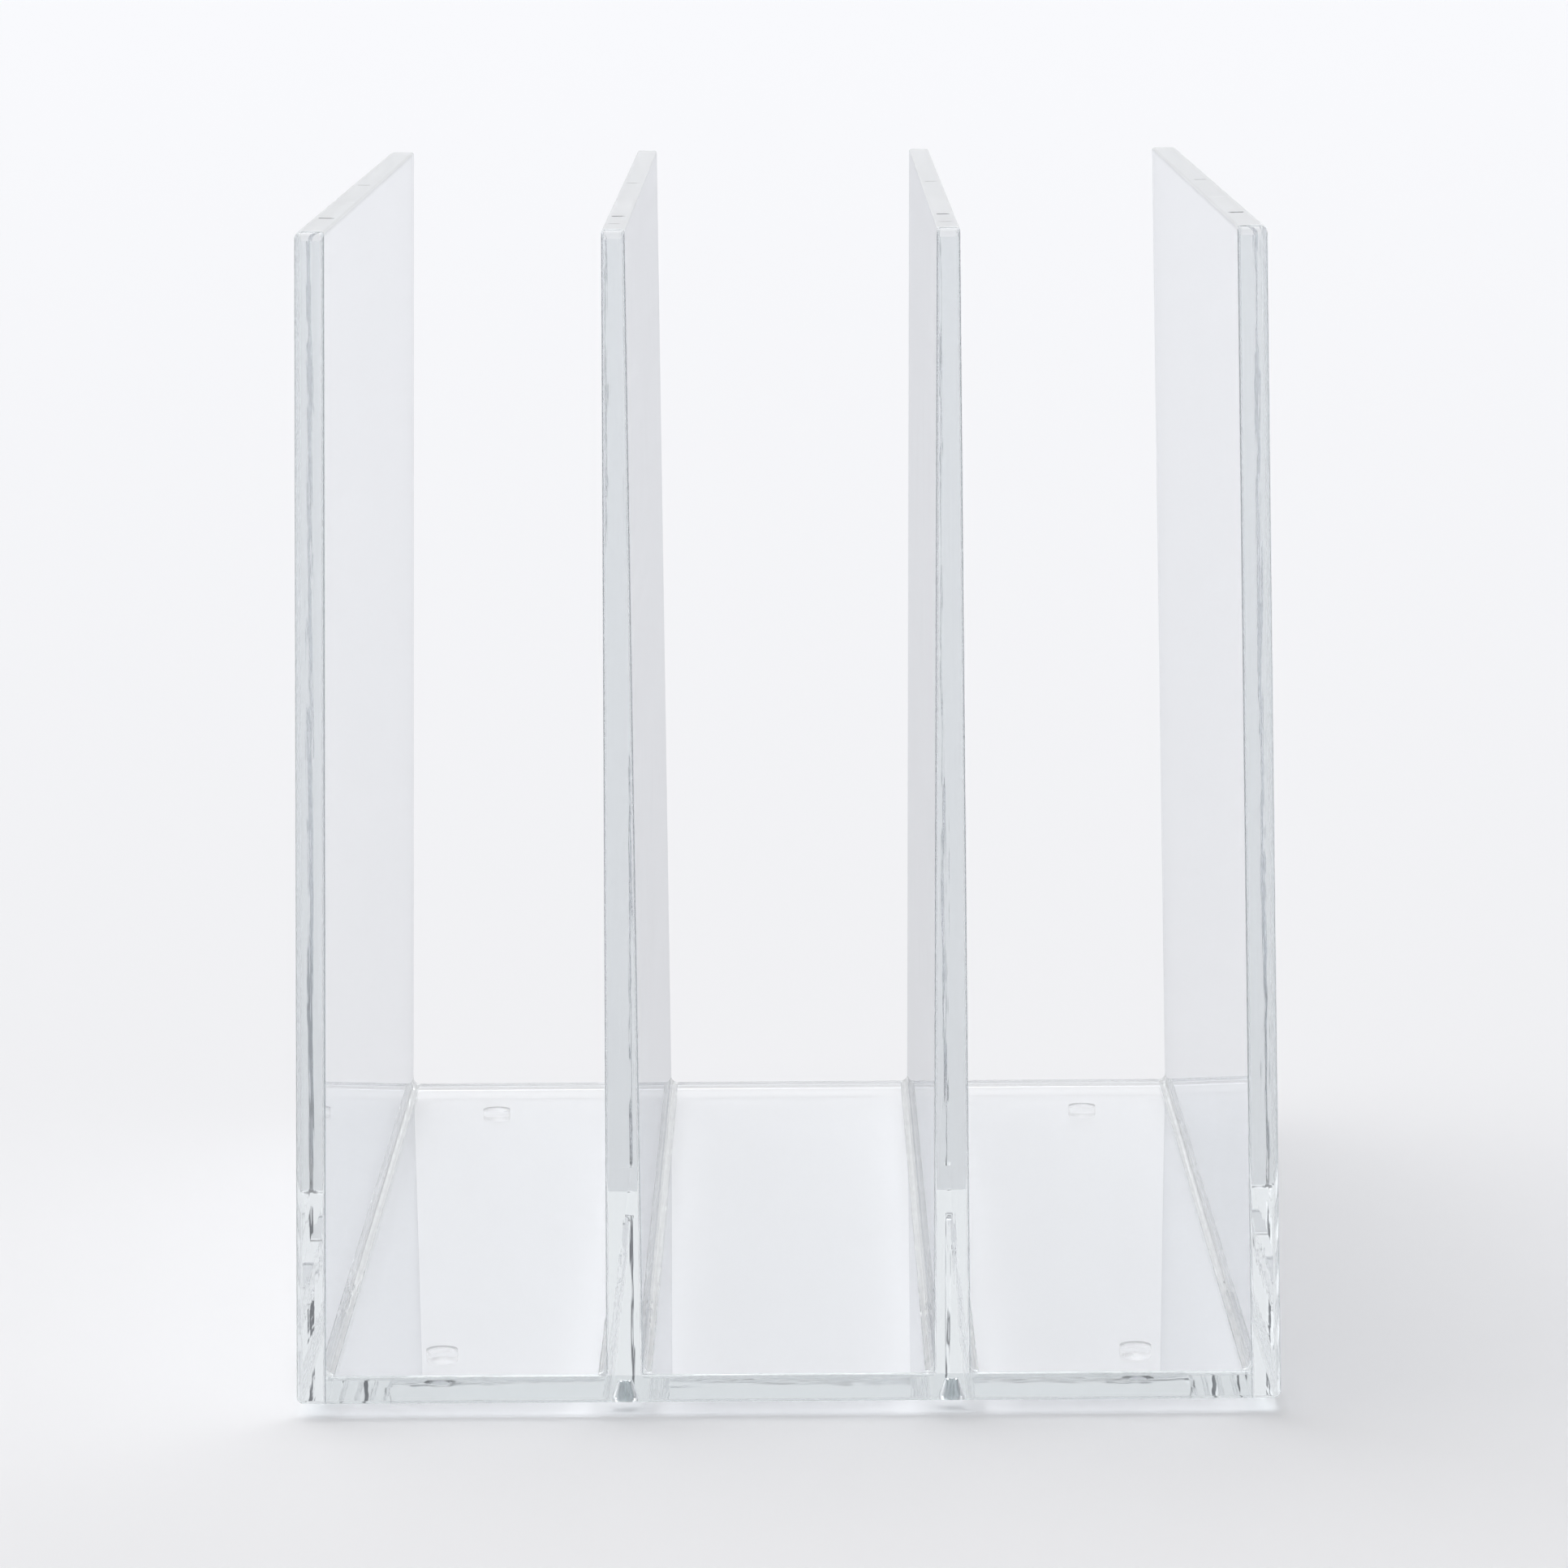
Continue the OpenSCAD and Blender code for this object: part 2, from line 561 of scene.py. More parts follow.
def _face_outwards(mesh: bpy.types.Mesh) -> None:
    """Turns every face outwards and reports edges that don't join two faces.

    Args:
        mesh: The mesh.
    """
    work = bmesh.new()
    work.from_mesh(mesh)
    bmesh.ops.recalc_face_normals(work, faces=work.faces)
    open_edges = sum(1 for e in work.edges if len(e.link_faces) != 2)
    if open_edges:
        LOG.warning("%s has %d open edges", mesh.name, open_edges)
    if work.calc_volume(signed=True) < 0:
        bmesh.ops.reverse_faces(work, faces=work.faces)
    work.to_mesh(mesh)
    work.free()
    mesh.update()


@dataclass
class Outline:
    """Closed outline of a panel seen from the front, with how it is rounded towards its two ends.

    Attributes:
        at: (n, 2) X and Z of the outline's points.
        core: (n, 2) where each point has moved to at the end face.
        reach: (n,) how far from the end face that move begins.
        skin: (n,) value of the skin of the strip from each point to the next.
        bonded: (n,) how far from the middle that strip is bonded.
        smooth: (n,) whether that strip is rounded.
        crown: (n,) share of its depth that a line across the top edge has at each point.
    """

    at: np.ndarray
    core: np.ndarray
    reach: np.ndarray
    skin: np.ndarray
    bonded: np.ndarray
    smooth: np.ndarray
    crown: np.ndarray


@dataclass
class OutlineMaker:
    """Collects an outline's points in order, then makes the Outline."""

    _rows: list[tuple[float, ...]] = field(default_factory=list)

    def point(
        self,
        x: float,
        z: float,
        reach: float,
        skin: Skin = Skin.FACE,
        bonded: float = 0.0,
        crown: float = 0.0,
    ) -> None:
        """Adds one point, whose strip to the next is flat.

        Args:
            x: Its X.
            z: Its Z.
            reach: How far from the end the rounding begins.
            skin: Skin of the strip to the next point.
            bonded: How far from the middle that strip is bonded.
            crown: Share of its depth that a line across the top edge has here.
        """
        self._rows.append((x, z, reach, skin.value, bonded, False, crown))

    def corner(
        self,
        centre: tuple[float, float],
        radius: float,
        start: int,
        reaches: tuple[float, float],
        after: Skin,
    ) -> None:
        """Adds a rounded corner, turning to the left.

        Args:
            centre: The corner circle's centre.
            radius: Its radius.
            start: The first angle, in quarter turns.
            reaches: The end rounding's reach where the corner begins and where it ends.
            after: The skin of the strip that follows the corner.
        """
        arc = corner_arc(centre, radius, start)
        reach = np.linspace(*reaches, len(arc))
        skins = [Skin.EDGE.value] * CORNER_STEPS + [after.value]
        smooth = [True] * CORNER_STEPS + [False]
        self._rows += [
            (*spot, far, skin, 0.0, soft, 0.0)
            for spot, far, skin, soft in zip(arc, reach, skins, smooth)
        ]

    def heights(self) -> np.ndarray:
        """Z of each point so far."""
        return np.array([z for _, z, *_ in self._rows])

    def outline(self, low: np.ndarray, high: np.ndarray) -> Outline:
        """Makes the outline.

        Args:
            low: Lowest X and Z at the end face, for all points or for each.
            high: Highest X and Z at the end face, for all points or for each.

        Returns:
            The outline, whose core is its points held between those.
        """
        rows = np.array(self._rows, float)
        at = rows[:, :2]
        return Outline(
            at=at,
            core=np.clip(at, low, high),
            reach=rows[:, 2],
            skin=rows[:, 3].astype(int),
            bonded=rows[:, 4],
            smooth=rows[:, 5].astype(bool),
            crown=rows[:, 6],
        )


@dataclass(frozen=True)
class TopLine:
    """A shallow line left across a top edge.

    Attributes:
        inset: Distance from the front.
        depth: How deep it is.
        width: How wide it is.
        stations: Where its shape is worked out, in widths from its middle.
    """

    inset: float
    depth: float
    width: float
    stations: tuple[float, ...] = (-0.7, -0.5, -0.25, 0.0, 0.25, 0.5, 0.7)


SCRATCH = TopLine(30 * MM, 0.35 * MM, 1.6 * MM)
FINE_SCRATCH = TopLine(112 * MM, 0.15 * MM, 0.6 * MM)
NICK = TopLine(13 * MM, 0.1 * MM, 0.5 * MM)


@dataclass(frozen=True)
class Sweep:
    """An outline carried along Y, with rounded ends and a flat face at each end.

    Attributes:
        outline: The outline.
        half_length: Distance from the middle to each end.
        lines: Lines across the top edge.
        steps: Chords in the rounding towards each end.
        clearance: Least distance between that rounding and the next station.
        rim: Width of the dark strip of painted shade that a face has beside its rounding, standing
            in for the dark line that refraction draws there.
        top_painted_outline: How far that painted shade reaches where the top corners begin to round,
            as a share of the way to the core.
    """

    outline: Outline
    half_length: float
    lines: tuple[TopLine, ...]
    steps: int = 10
    clearance: float = 0.02 * MM
    rim: float = 0.17 * MM
    top_painted_outline: float = 0.09

    def _middle(self) -> np.ndarray:
        """Stations between the roundings: where bonds end and where lines cross.

        Returns:
            (rows, n) Y for each point of the outline.
        """
        places = [*-self.outline.bonded, *self.outline.bonded]
        for line in self.lines:
            centre = line.inset - self.half_length
            places += [centre + line.width * share for share in line.stations]
        limit = self.half_length - self.outline.reach - self.clearance
        return np.clip(grid_lines(places)[:, None], -limit, limit)

    def _skins(self, y: np.ndarray, turned: np.ndarray) -> np.ndarray:
        """Chooses each quad's skin.

        A strip keeps its own skin but for these: where it is bonded; in the rounding, where a face
        becomes a dark strip of painted shade and then edge, and the top becomes that painted shade
        and then a near-clear painted highlight; and under a line.

        Args:
            y: (rows, n) Y of the quads' middles.
            turned: (rows, 1) share of the way to the core at the quads' middles.

        Returns:
            (rows, n) values of skins.
        """
        outline = self.outline
        skin = np.broadcast_to(outline.skin, y.shape).copy()
        skin[np.abs(y) < outline.bonded] = Skin.BOND.value
        side = (skin == Skin.FACE.value) & (turned > 0)
        skin[side] = Skin.EDGE.value
        # Painted shade: a dark strip where a face begins to round.
        skin[side & (outline.reach * turned < self.rim)] = Skin.RIM.value
        # Painted highlight: the top corners' rounding takes a near-clear tint, with painted shade
        # where it begins.
        top = (outline.reach >= outline.reach.max() - TOLERANCE) & (turned > 0)
        skin[top] = Skin.LIGHTER_EDGE.value
        skin[top & (turned < self.top_painted_outline)] = Skin.RIM.value
        for line in self.lines:
            across = np.abs(y - (line.inset - self.half_length)) < line.width / 2
            skin[across & (outline.crown > 0)] = Skin.MARK.value
        return skin

    def add_to(self, shell: Shell) -> None:
        """Adds the surface to a mesh.

        Towards an end, a point of the outline is at the end's Y less its reach times one minus the
        sine of an angle, and has gone one minus the angle's cosine of the way to its core, as the
        angle runs over a quarter turn. Between the ends it keeps its place, except that a line
        across the top lowers it by the line's depth times one minus the square of the distance from
        the line in half widths.

        Args:
            shell: The mesh.
        """
        outline = self.outline
        turn = quarter(self.steps)[::-1, None]
        near = -self.half_length + outline.reach * (1 - np.sin(turn))
        middle = self._middle()
        y = np.concatenate([near, middle, -near[::-1]])
        curled = 1 - np.cos(turn)
        share = np.concatenate([curled, np.zeros((len(middle), 1)), curled[::-1]])
        x = outline.at[:, 0] + share * (outline.core - outline.at)[:, 0]
        z = outline.at[:, 1] + share * (outline.core - outline.at)[:, 1]
        for line in self.lines:
            from_line = y - (line.inset - self.half_length)
            z -= line.depth * np.clip(1 - (from_line / (line.width / 2)) ** 2, 0, 1) * outline.crown
        points = np.stack([x, y, z], axis=2)
        turned = (share[:-1] + share[1:]) / 2
        shell.loop(points, self._skins((y[:-1] + y[1:]) / 2, turned), outline.smooth | (turned > 0))
        shell.ring(points[0], Skin.EDGE)
        shell.ring(points[-1], Skin.EDGE)


def show(piece: bpy.types.Object, slot: Slot, node: str) -> None:
    """Attaches a finished piece to its body and hides the CAD node that it stands for.

    Args:
        piece: The piece.
        slot: Not used.
        node: The CAD node.
    """
    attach(piece, BODY)
    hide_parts(node)
    LOG.info("%s: %d faces, for %s", piece.name, len(piece.data.polygons), node)


# ---------------- sub-assemblies


@dataclass
class Plan:
    """The rack's shared places, read from its CAD parts, and the sizes that boxes can't give.

    Attributes:
        lean_in: How far a side panel's top leans in.
        side_t: Thickness of a side panel.
        side_outer_r: Rounding of a side panel's outer edges.
        side_inner_r: Rounding of a side panel's inner edges.
        low_corner_r: Rounding of a side panel's bottom corners.
        top_corner_r: Rounding of every upright panel's top corners.
        divider_top_t: Thickness of a divider at its top.
        divider_edge_r: Rounding of a divider's edges.
        base_edge_r: Rounding of the base plate's front and back edges.
        bead_leg: Width and height of a cement bead.
        gap: Clearance between two bonded faces, so that neither hides the other.
        crowns: For points across a top edge, the share of its width and of a line's depth there.
        half_d: Half the rack's depth.
        top_z: Z of its top.
        base_z: Z of the base plate's underside.
        base_top_z: Z of the base plate's top.
        base_t: Thickness of the base plate.
        end_x: X of the base plate's right end at the underside.
        end_top_x: X of the base plate's right end at its top.
        lean: Angle that a side panel leans in.
        divider_x: X of the right divider's middle.
        divider_foot_t: Thickness of a divider at its foot.
        divider_h: Height of a divider.
        taper: Slope of a divider's faces.
        bead_half: Half the length of a cement bead.
    """

    lean_in: float = 2.4 * MM
    side_t: float = 4.0 * MM
    side_outer_r: float = 0.9 * MM
    side_inner_r: float = 0.4 * MM
    low_corner_r: float = 0.5 * MM
    top_corner_r: float = 1.2 * MM
    divider_top_t: float = 3.1 * MM
    divider_edge_r: float = 0.4 * MM
    base_edge_r: float = 0.5 * MM
    bead_leg: float = 1.1 * MM
    gap: float = 0.01 * MM
    crowns: tuple[tuple[float, ...], ...] = ((0.1, 0), (0.25, 0.5), (0.5, 1), (0.8, 1), (0.9, 0))

    def __post_init__(self) -> None:
        """Reads the boxes and works out the slopes."""
        base_low, base_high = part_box("base_plate")
        divider_low, divider_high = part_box("right_divider")
        self.half_d = CAD_BOX[1].y
        self.top_z = CAD_BOX[1].z
        self.base_z = base_low.z
        self.base_top_z = base_high.z
        self.base_t = base_high.z - base_low.z
        self.end_x = base_high.x
        self.lean = math.atan(self.lean_in / (self.top_z - self.base_z))
        self.end_top_x = self.end_x - self.base_t * math.tan(self.lean)
        self.divider_x = (divider_low.x + divider_high.x) / 2
        self.divider_foot_t = divider_high.x - divider_low.x
        self.divider_h = divider_high.z - divider_low.z
        self.taper = math.atan((self.divider_foot_t - self.divider_top_t) / 2 / self.divider_h)
        self.bead_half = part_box("right_divider_outer_bead")[1].y


@dataclass
class Upright(ABC):
    """A panel that stands from front to back: an outline swept along the rack's depth.

    Attributes:
        plan: The rack's shared places.
        side: Which side of the rack it is on.
        lines: Lines across its top edge.
        kind: What it is, as it stands in the name of its CAD node.
    """

    plan: Plan
    side: Side
    lines: tuple[TopLine, ...]
    kind: str = "panel"

    @abstractmethod
    def outline(self) -> Outline:
        """Its outline, standing on Z = 0."""

    @abstractmethod
    def place(self) -> Matrix:
        """Where the outline goes."""

    def build(self) -> None:
        """Builds the panel in its place."""
        node = f"{self.side.word}_{self.kind}"
        shell = Shell(f"{node}_acrylic", UPRIGHT_SKINS)
        Sweep(self.outline(), self.plan.half_d, self.lines).add_to(shell)
        shell.move(self.place())
        show(shell.build(), Slot.ACRYLIC, node)


@dataclass
class SidePanel(Upright):
    """One outer side panel, which leans in slightly and stands beside the base plate's end."""

    kind: str = "side_panel"

    def outline(self) -> Outline:
        """Outline of the upright panel, with its inner face on X = 0 and its foot on Z = 0.

        Returns:
            The outline of a left panel.
        """
        p = self.plan
        inner, outer, top = p.side_inner_r, p.side_outer_r, p.top_corner_r
        rise = p.top_z - p.base_z - outer - (p.side_t - outer) * math.sin(p.lean)
        height = rise / math.cos(p.lean) + outer
        joint = p.base_t / math.cos(p.lean)
        make = OutlineMaker()
        make.point(-p.gap, 0.0, inner, bonded=p.half_d - inner)
        make.point(-p.gap, joint, inner, bonded=p.bead_half)
        make.point(-p.gap, joint + p.bead_leg, inner)
        make.corner((-p.gap - inner, height - inner), inner, 0, (inner, top), Skin.EDGE)
        for share, crown in p.crowns:
            x = -inner - share * (p.side_t - inner - outer)
            make.point(x, height, top, Skin.EDGE, crown=crown)
        make.corner((-p.side_t + outer, height - outer), outer, 1, (top, outer), Skin.FACE)
        make.corner((-p.side_t + outer, outer), outer, 2, (outer, p.low_corner_r), Skin.EDGE)
        low = np.array([-p.side_t + outer, p.low_corner_r])
        return make.outline(low, np.array([-p.gap - inner, height - top]))

    def place(self) -> Matrix:
        """Leans the panel in about its inner foot, and mirrors it for the right.

        Returns:
            Where the outline goes.
        """
        p = self.plan
        left = Matrix.Translation((-p.end_x, 0, p.base_z)) @ Matrix.Rotation(p.lean, 4, "Y")
        return left if self.side is Side.LEFT else Matrix.Scale(-1, 4, (1, 0, 0)) @ left


@dataclass
class Divider(Upright):
    """One divider, thicker at its foot, which stands on the base plate."""

    kind: str = "divider"

    def outline(self) -> Outline:
        """Outline of the divider about X = 0, with its foot on Z = 0.

        Returns:
            The outline.
        """
        p = self.plan
        radius, high = p.divider_edge_r, p.divider_h
        foot, top = p.divider_foot_t / 2, p.divider_top_t / 2
        bead_x = foot - p.bead_leg * math.tan(p.taper)
        make = OutlineMaker()
        make.point(foot, p.gap, radius, bonded=p.bead_half)
        make.point(bead_x, p.bead_leg, radius)
        make.corner((top - radius, high - radius), radius, 0, (radius, p.top_corner_r), Skin.EDGE)
        for share, crown in p.crowns:
            x = (1 - 2 * share) * (top - radius)
            make.point(x, high, p.top_corner_r, Skin.EDGE, crown=crown)
        make.corner((radius - top, high - radius), radius, 1, (p.top_corner_r, radius), Skin.FACE)
        make.point(-bead_x, p.bead_leg, radius, bonded=p.bead_half)
        make.point(-foot, p.gap, radius, bonded=p.half_d)
        z = make.heights()
        half = foot - z * math.tan(p.taper) - radius
        low = np.stack([-half, np.zeros_like(z)], axis=1)
        return make.outline(low, np.stack([half, np.full_like(z, high - p.top_corner_r)], axis=1))

    def place(self) -> Matrix:
        """Where the outline goes."""
        return Matrix.Translation((self.side.value * self.plan.divider_x, 0, self.plan.base_top_z))


@dataclass(frozen=True)
class Spot:
    """A round place on the base plate's underside, in a square cell of the grid.

    Attributes:
        x: X of its middle.
        y: Y of its middle.
        radius: Radius of the round edge.
        cell: Half the side of the square cell.
    """

    x: float
    y: float
    radius: float
    cell: float

    def lines(self, middle: float, steps: int) -> list[float]:
        """Grid lines over the cell, about its middle along one axis."""
        return np.linspace(middle - self.cell, middle + self.cell, steps + 1).tolist()


@dataclass
class BasePlate:
    """The base plate, with its bonded strips, the feet's places and two pits in its underside.

    Attributes:
        plan: The rack's shared places.
        foot_cell: Half the side of the square cell about a foot.
        pit_cell: Half the side of the square cell about a pit.
        pit_inset: Distance of the pits from the front.
        pit_mouth_r: Radius of a pit at the underside.
        pit_end_r: Radius of a pit at its inner end.
        pit_depth: Depth of a pit.
        pit_steps: Chords along a pit's depth.
        cell_steps: Chords along each side of a cell.
        cell_rings: Chords from a cell's side to its round edge.
        shell: The mesh that it is gathered in.
    """

    plan: Plan
    foot_cell: float = 3.2 * MM
    pit_cell: float = 2.4 * MM
    pit_inset: float = 3.6 * MM
    pit_mouth_r: float = 1.95 * MM
    pit_end_r: float = 0.95 * MM
    pit_depth: float = 2.7 * MM
    pit_steps: int = 6
    cell_steps: int = 8
    cell_rings: int = 2
    shell: Shell = field(default_factory=lambda: Shell("base_plate_acrylic", BASE_SKINS))

    def feet(self) -> list[Spot]:
        """The feet's places, read from their CAD parts.

        Returns:
            One spot for each foot.
        """
        spots = []
        for end in End:
            for side in Side:
                low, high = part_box(f"{end.word}_{side.word}_foot")
                middle = (low + high) / 2
                spots.append(Spot(middle.x, middle.y, (high.x - low.x) / 2, self.foot_cell))
        return spots

    def pits(self) -> list[Spot]:
        """The pits' places, each under a divider's front end.

        Returns:
            One spot for each pit.
        """
        x, y = self.plan.divider_x, self.pit_inset - self.plan.half_d
        return [Spot(side.value * x, y, self.pit_mouth_r, self.pit_cell) for side in Side]

    def stations(self) -> np.ndarray:
        """X of every grid line but the two ends.

        Returns:
            (n,) X.
        """
        p = self.plan
        foot, bead = p.divider_foot_t / 2, p.bead_leg
        strips = [p.divider_x + s for s in (-foot - bead, -foot, foot, foot + bead)]
        lines = [0.0, p.end_top_x - bead, *strips]
        lines += [-x for x in lines]
        for spot in self.feet() + self.pits():
            lines += spot.lines(spot.x, self.cell_steps)
        return grid_lines(lines)

    def spread(self, ring: np.ndarray) -> np.ndarray:
        """Carries a run of Y and Z points along X, from one sloping end to the other.

        Args:
            ring: (n, 2) Y and Z.

        Returns:
            (n, stations + 2, 3) grid.
        """
        p = self.plan
        end = p.end_x - (ring[:, 1:] - p.base_z) * math.tan(p.lean) - p.gap
        between = self.stations()
        between = np.broadcast_to(between, (len(ring), len(between)))
        x = np.concatenate([-end, between, end], axis=1)
        y = np.broadcast_to(ring[:, :1], x.shape)
        z = np.broadcast_to(ring[:, 1:], x.shape)
        return np.stack([x, y, z], axis=2)

    def level(self, y: np.ndarray, z: float) -> np.ndarray:
        """Puts a run of Y points at one height, as (n, 2) Y and Z."""
        return np.stack([y, np.full(len(y), z)], axis=1)

    def top(self) -> np.ndarray:
        """Adds the top, with bonded strips under dividers and beads.

        Returns:
            (n,) Y of its lines.
        """
        p = self.plan
        flat = p.half_d - p.base_edge_r
        y = np.array([-flat, -p.bead_half, p.bead_half, flat])
        grid = self.spread(self.level(y, p.base_top_z))
        middle = np.abs(grid[0, :-1, 0] + grid[0, 1:, 0]) / 2
        from_divider = np.abs(middle - p.divider_x)
        beaded = from_divider < p.divider_foot_t / 2 + p.bead_leg
        beaded |= middle > p.end_top_x - p.bead_leg
        skin = np.full((len(y) - 1, len(middle)), Skin.FACE.value)
        skin[1, beaded] = Skin.BOND.value
        skin[:, from_divider < p.divider_foot_t / 2] = Skin.BOND.value
        self.shell.grid(grid, skin)
        return y

    def edge(self, end: End) -> np.ndarray:
        """Adds the front or back edge, rounded above and below.

        Where a divider stands, the quarter circle is pushed out to the square around it, so that
        the bond goes right to the edge: above at both ends, and below at the back.

        Args:
            end: Which edge.

        Returns:
            (n, 2) Y and Z of its rounded section.
        """
        p = self.plan
        r = p.base_edge_r
        low = corner_arc((p.half_d - r, p.base_z + r), r, 3)
        high = corner_arc((p.half_d - r, p.base_top_z - r), r, 0)
        ring = np.concatenate([low, high]) * (end.value, 1)
        grid = self.spread(ring)
        arc = corner_arc((0.0, 0.0), r, 0)
        square = arc / np.abs(arc).max(axis=1, keepdims=True) * r
        square = (square + (p.half_d - r, p.base_top_z - r)) * (end.value, 1)
        from_divider = np.abs(np.abs(grid[0, :, 0]) - p.divider_x)
        foot = from_divider < p.divider_foot_t / 2 + TOLERANCE
        grid[len(low) :, foot, 1:] = square[:, None, :]
        if end is End.BACK:
            mirrored = square[::-1] * (1, -1) + (0, 2 * p.base_z + p.base_t)
            grid[: len(low), foot, 1:] = mirrored[:, None, :]
        under_foot = foot[:-1] & foot[1:]
        smooth = np.ones((len(ring) - 1, len(foot) - 1), bool)
        smooth[len(low) - 1] = False
        smooth[:, under_foot] = False
        # Painted shade: the front edge takes the base plate's darker edge tint, and the back edge
        # keeps the uprights' edge tint.
        plain = Skin.EDGE if end is End.FRONT else Skin.LIGHTER_EDGE
        skin = np.full(smooth.shape, plain.value)
        skin[len(low) + CORNER_STEPS // 2 :, under_foot] = Skin.BOND.value
        self.shell.grid(grid, skin, smooth)
        return ring

    def underside(self) -> np.ndarray:
        """Adds the underside with its round spots.

        Returns:
            (n,) Y of its lines.
        """
        p = self.plan
        flat = p.half_d - p.base_edge_r
        lines = [-flat, flat]
        spots = self.feet() + self.pits()
        for spot in spots:
            lines += spot.lines(spot.y, self.cell_steps)
        y = grid_lines(lines)
        grid = self.spread(self.level(y, p.base_z))
        middle = (grid[:-1, :-1] + grid[1:, 1:]) / 2
        keep = np.ones(middle.shape[:2], bool)
        for spot in spots:
            keep &= np.abs(middle[:, :, :2] - (spot.x, spot.y)).max(axis=2) >= spot.cell
        self.shell.grid(grid, Skin.FACE, keep=keep)
        for spot in self.feet():
            self.shell.ring(self.round_cell(spot), Skin.BOND)
        for spot in self.pits():
            self.pit(spot)
        return y

    def round_cell(self, spot: Spot) -> np.ndarray:
        """Adds the surface between a spot's square cell and its circle.

        Each point of the square runs straight to the circle's point in the same direction.

        Args:
            spot: The spot.

        Returns:
            (n, 3) circle.
        """
        side = np.linspace(-spot.cell, spot.cell, self.cell_steps + 1)[:-1]
        far = np.full_like(side, spot.cell)
        sides = [(side, -far), (far, side), (-side, far), (-far, -side)]
        square = np.concatenate([np.stack(xy, axis=1) for xy in sides])
        circle = square / np.linalg.norm(square, axis=1, keepdims=True) * spot.radius
        share = np.linspace(0, 1, self.cell_rings + 1)[:, None, None]
        flat = square + (circle - square) * share
        z = np.full(flat.shape[:2] + (1,), self.plan.base_z)
        rings = np.concatenate([flat + (spot.x, spot.y), z], axis=2)
        rings[0, :, :2] = np.round(rings[0, :, :2], PLACES)
        self.shell.loop(rings, Skin.FACE)
        return rings[-1]

    def pit(self, spot: Spot) -> None:
        """Adds a conical pit: rings that shrink and rise evenly, closed by a flat disc.

        Args:
            spot: The pit's place.
        """
        mouth = self.round_cell(spot)
        middle = np.array([spot.x, spot.y, 0.0])
        share = np.linspace(0, 1, self.pit_steps + 1)[:, None, None]
        shrink = 1 - share * (1 - self.pit_end_r / self.pit_mouth_r)
        rings = (mouth - middle) * (1, 1, 0) * shrink + middle
        rings = rings + np.array([0, 0, 1]) * (self.plan.base_z + share * self.pit_depth)
        self.shell.loop(rings, Skin.EDGE, True)
        self.shell.ring(rings[-1], Skin.EDGE)

    def build(self) -> None:
        """Builds the plate, whose ends are bonded faces inside the ring of the other surfaces."""
        p = self.plan
        top = self.top()[1:-1]
        front = self.edge(End.FRONT)
        back = self.edge(End.BACK)
        under = self.underside()[1:-1]
        runs = [self.level(under, p.base_z), back, self.level(top[::-1], p.base_top_z), front[::-1]]
        grid = self.spread(np.concatenate(runs))
        self.shell.ring(grid[:, 0], Skin.BOND)
        self.shell.ring(grid[:, -1], Skin.BOND)
        show(self.shell.build(), Slot.ACRYLIC, "base_plate")


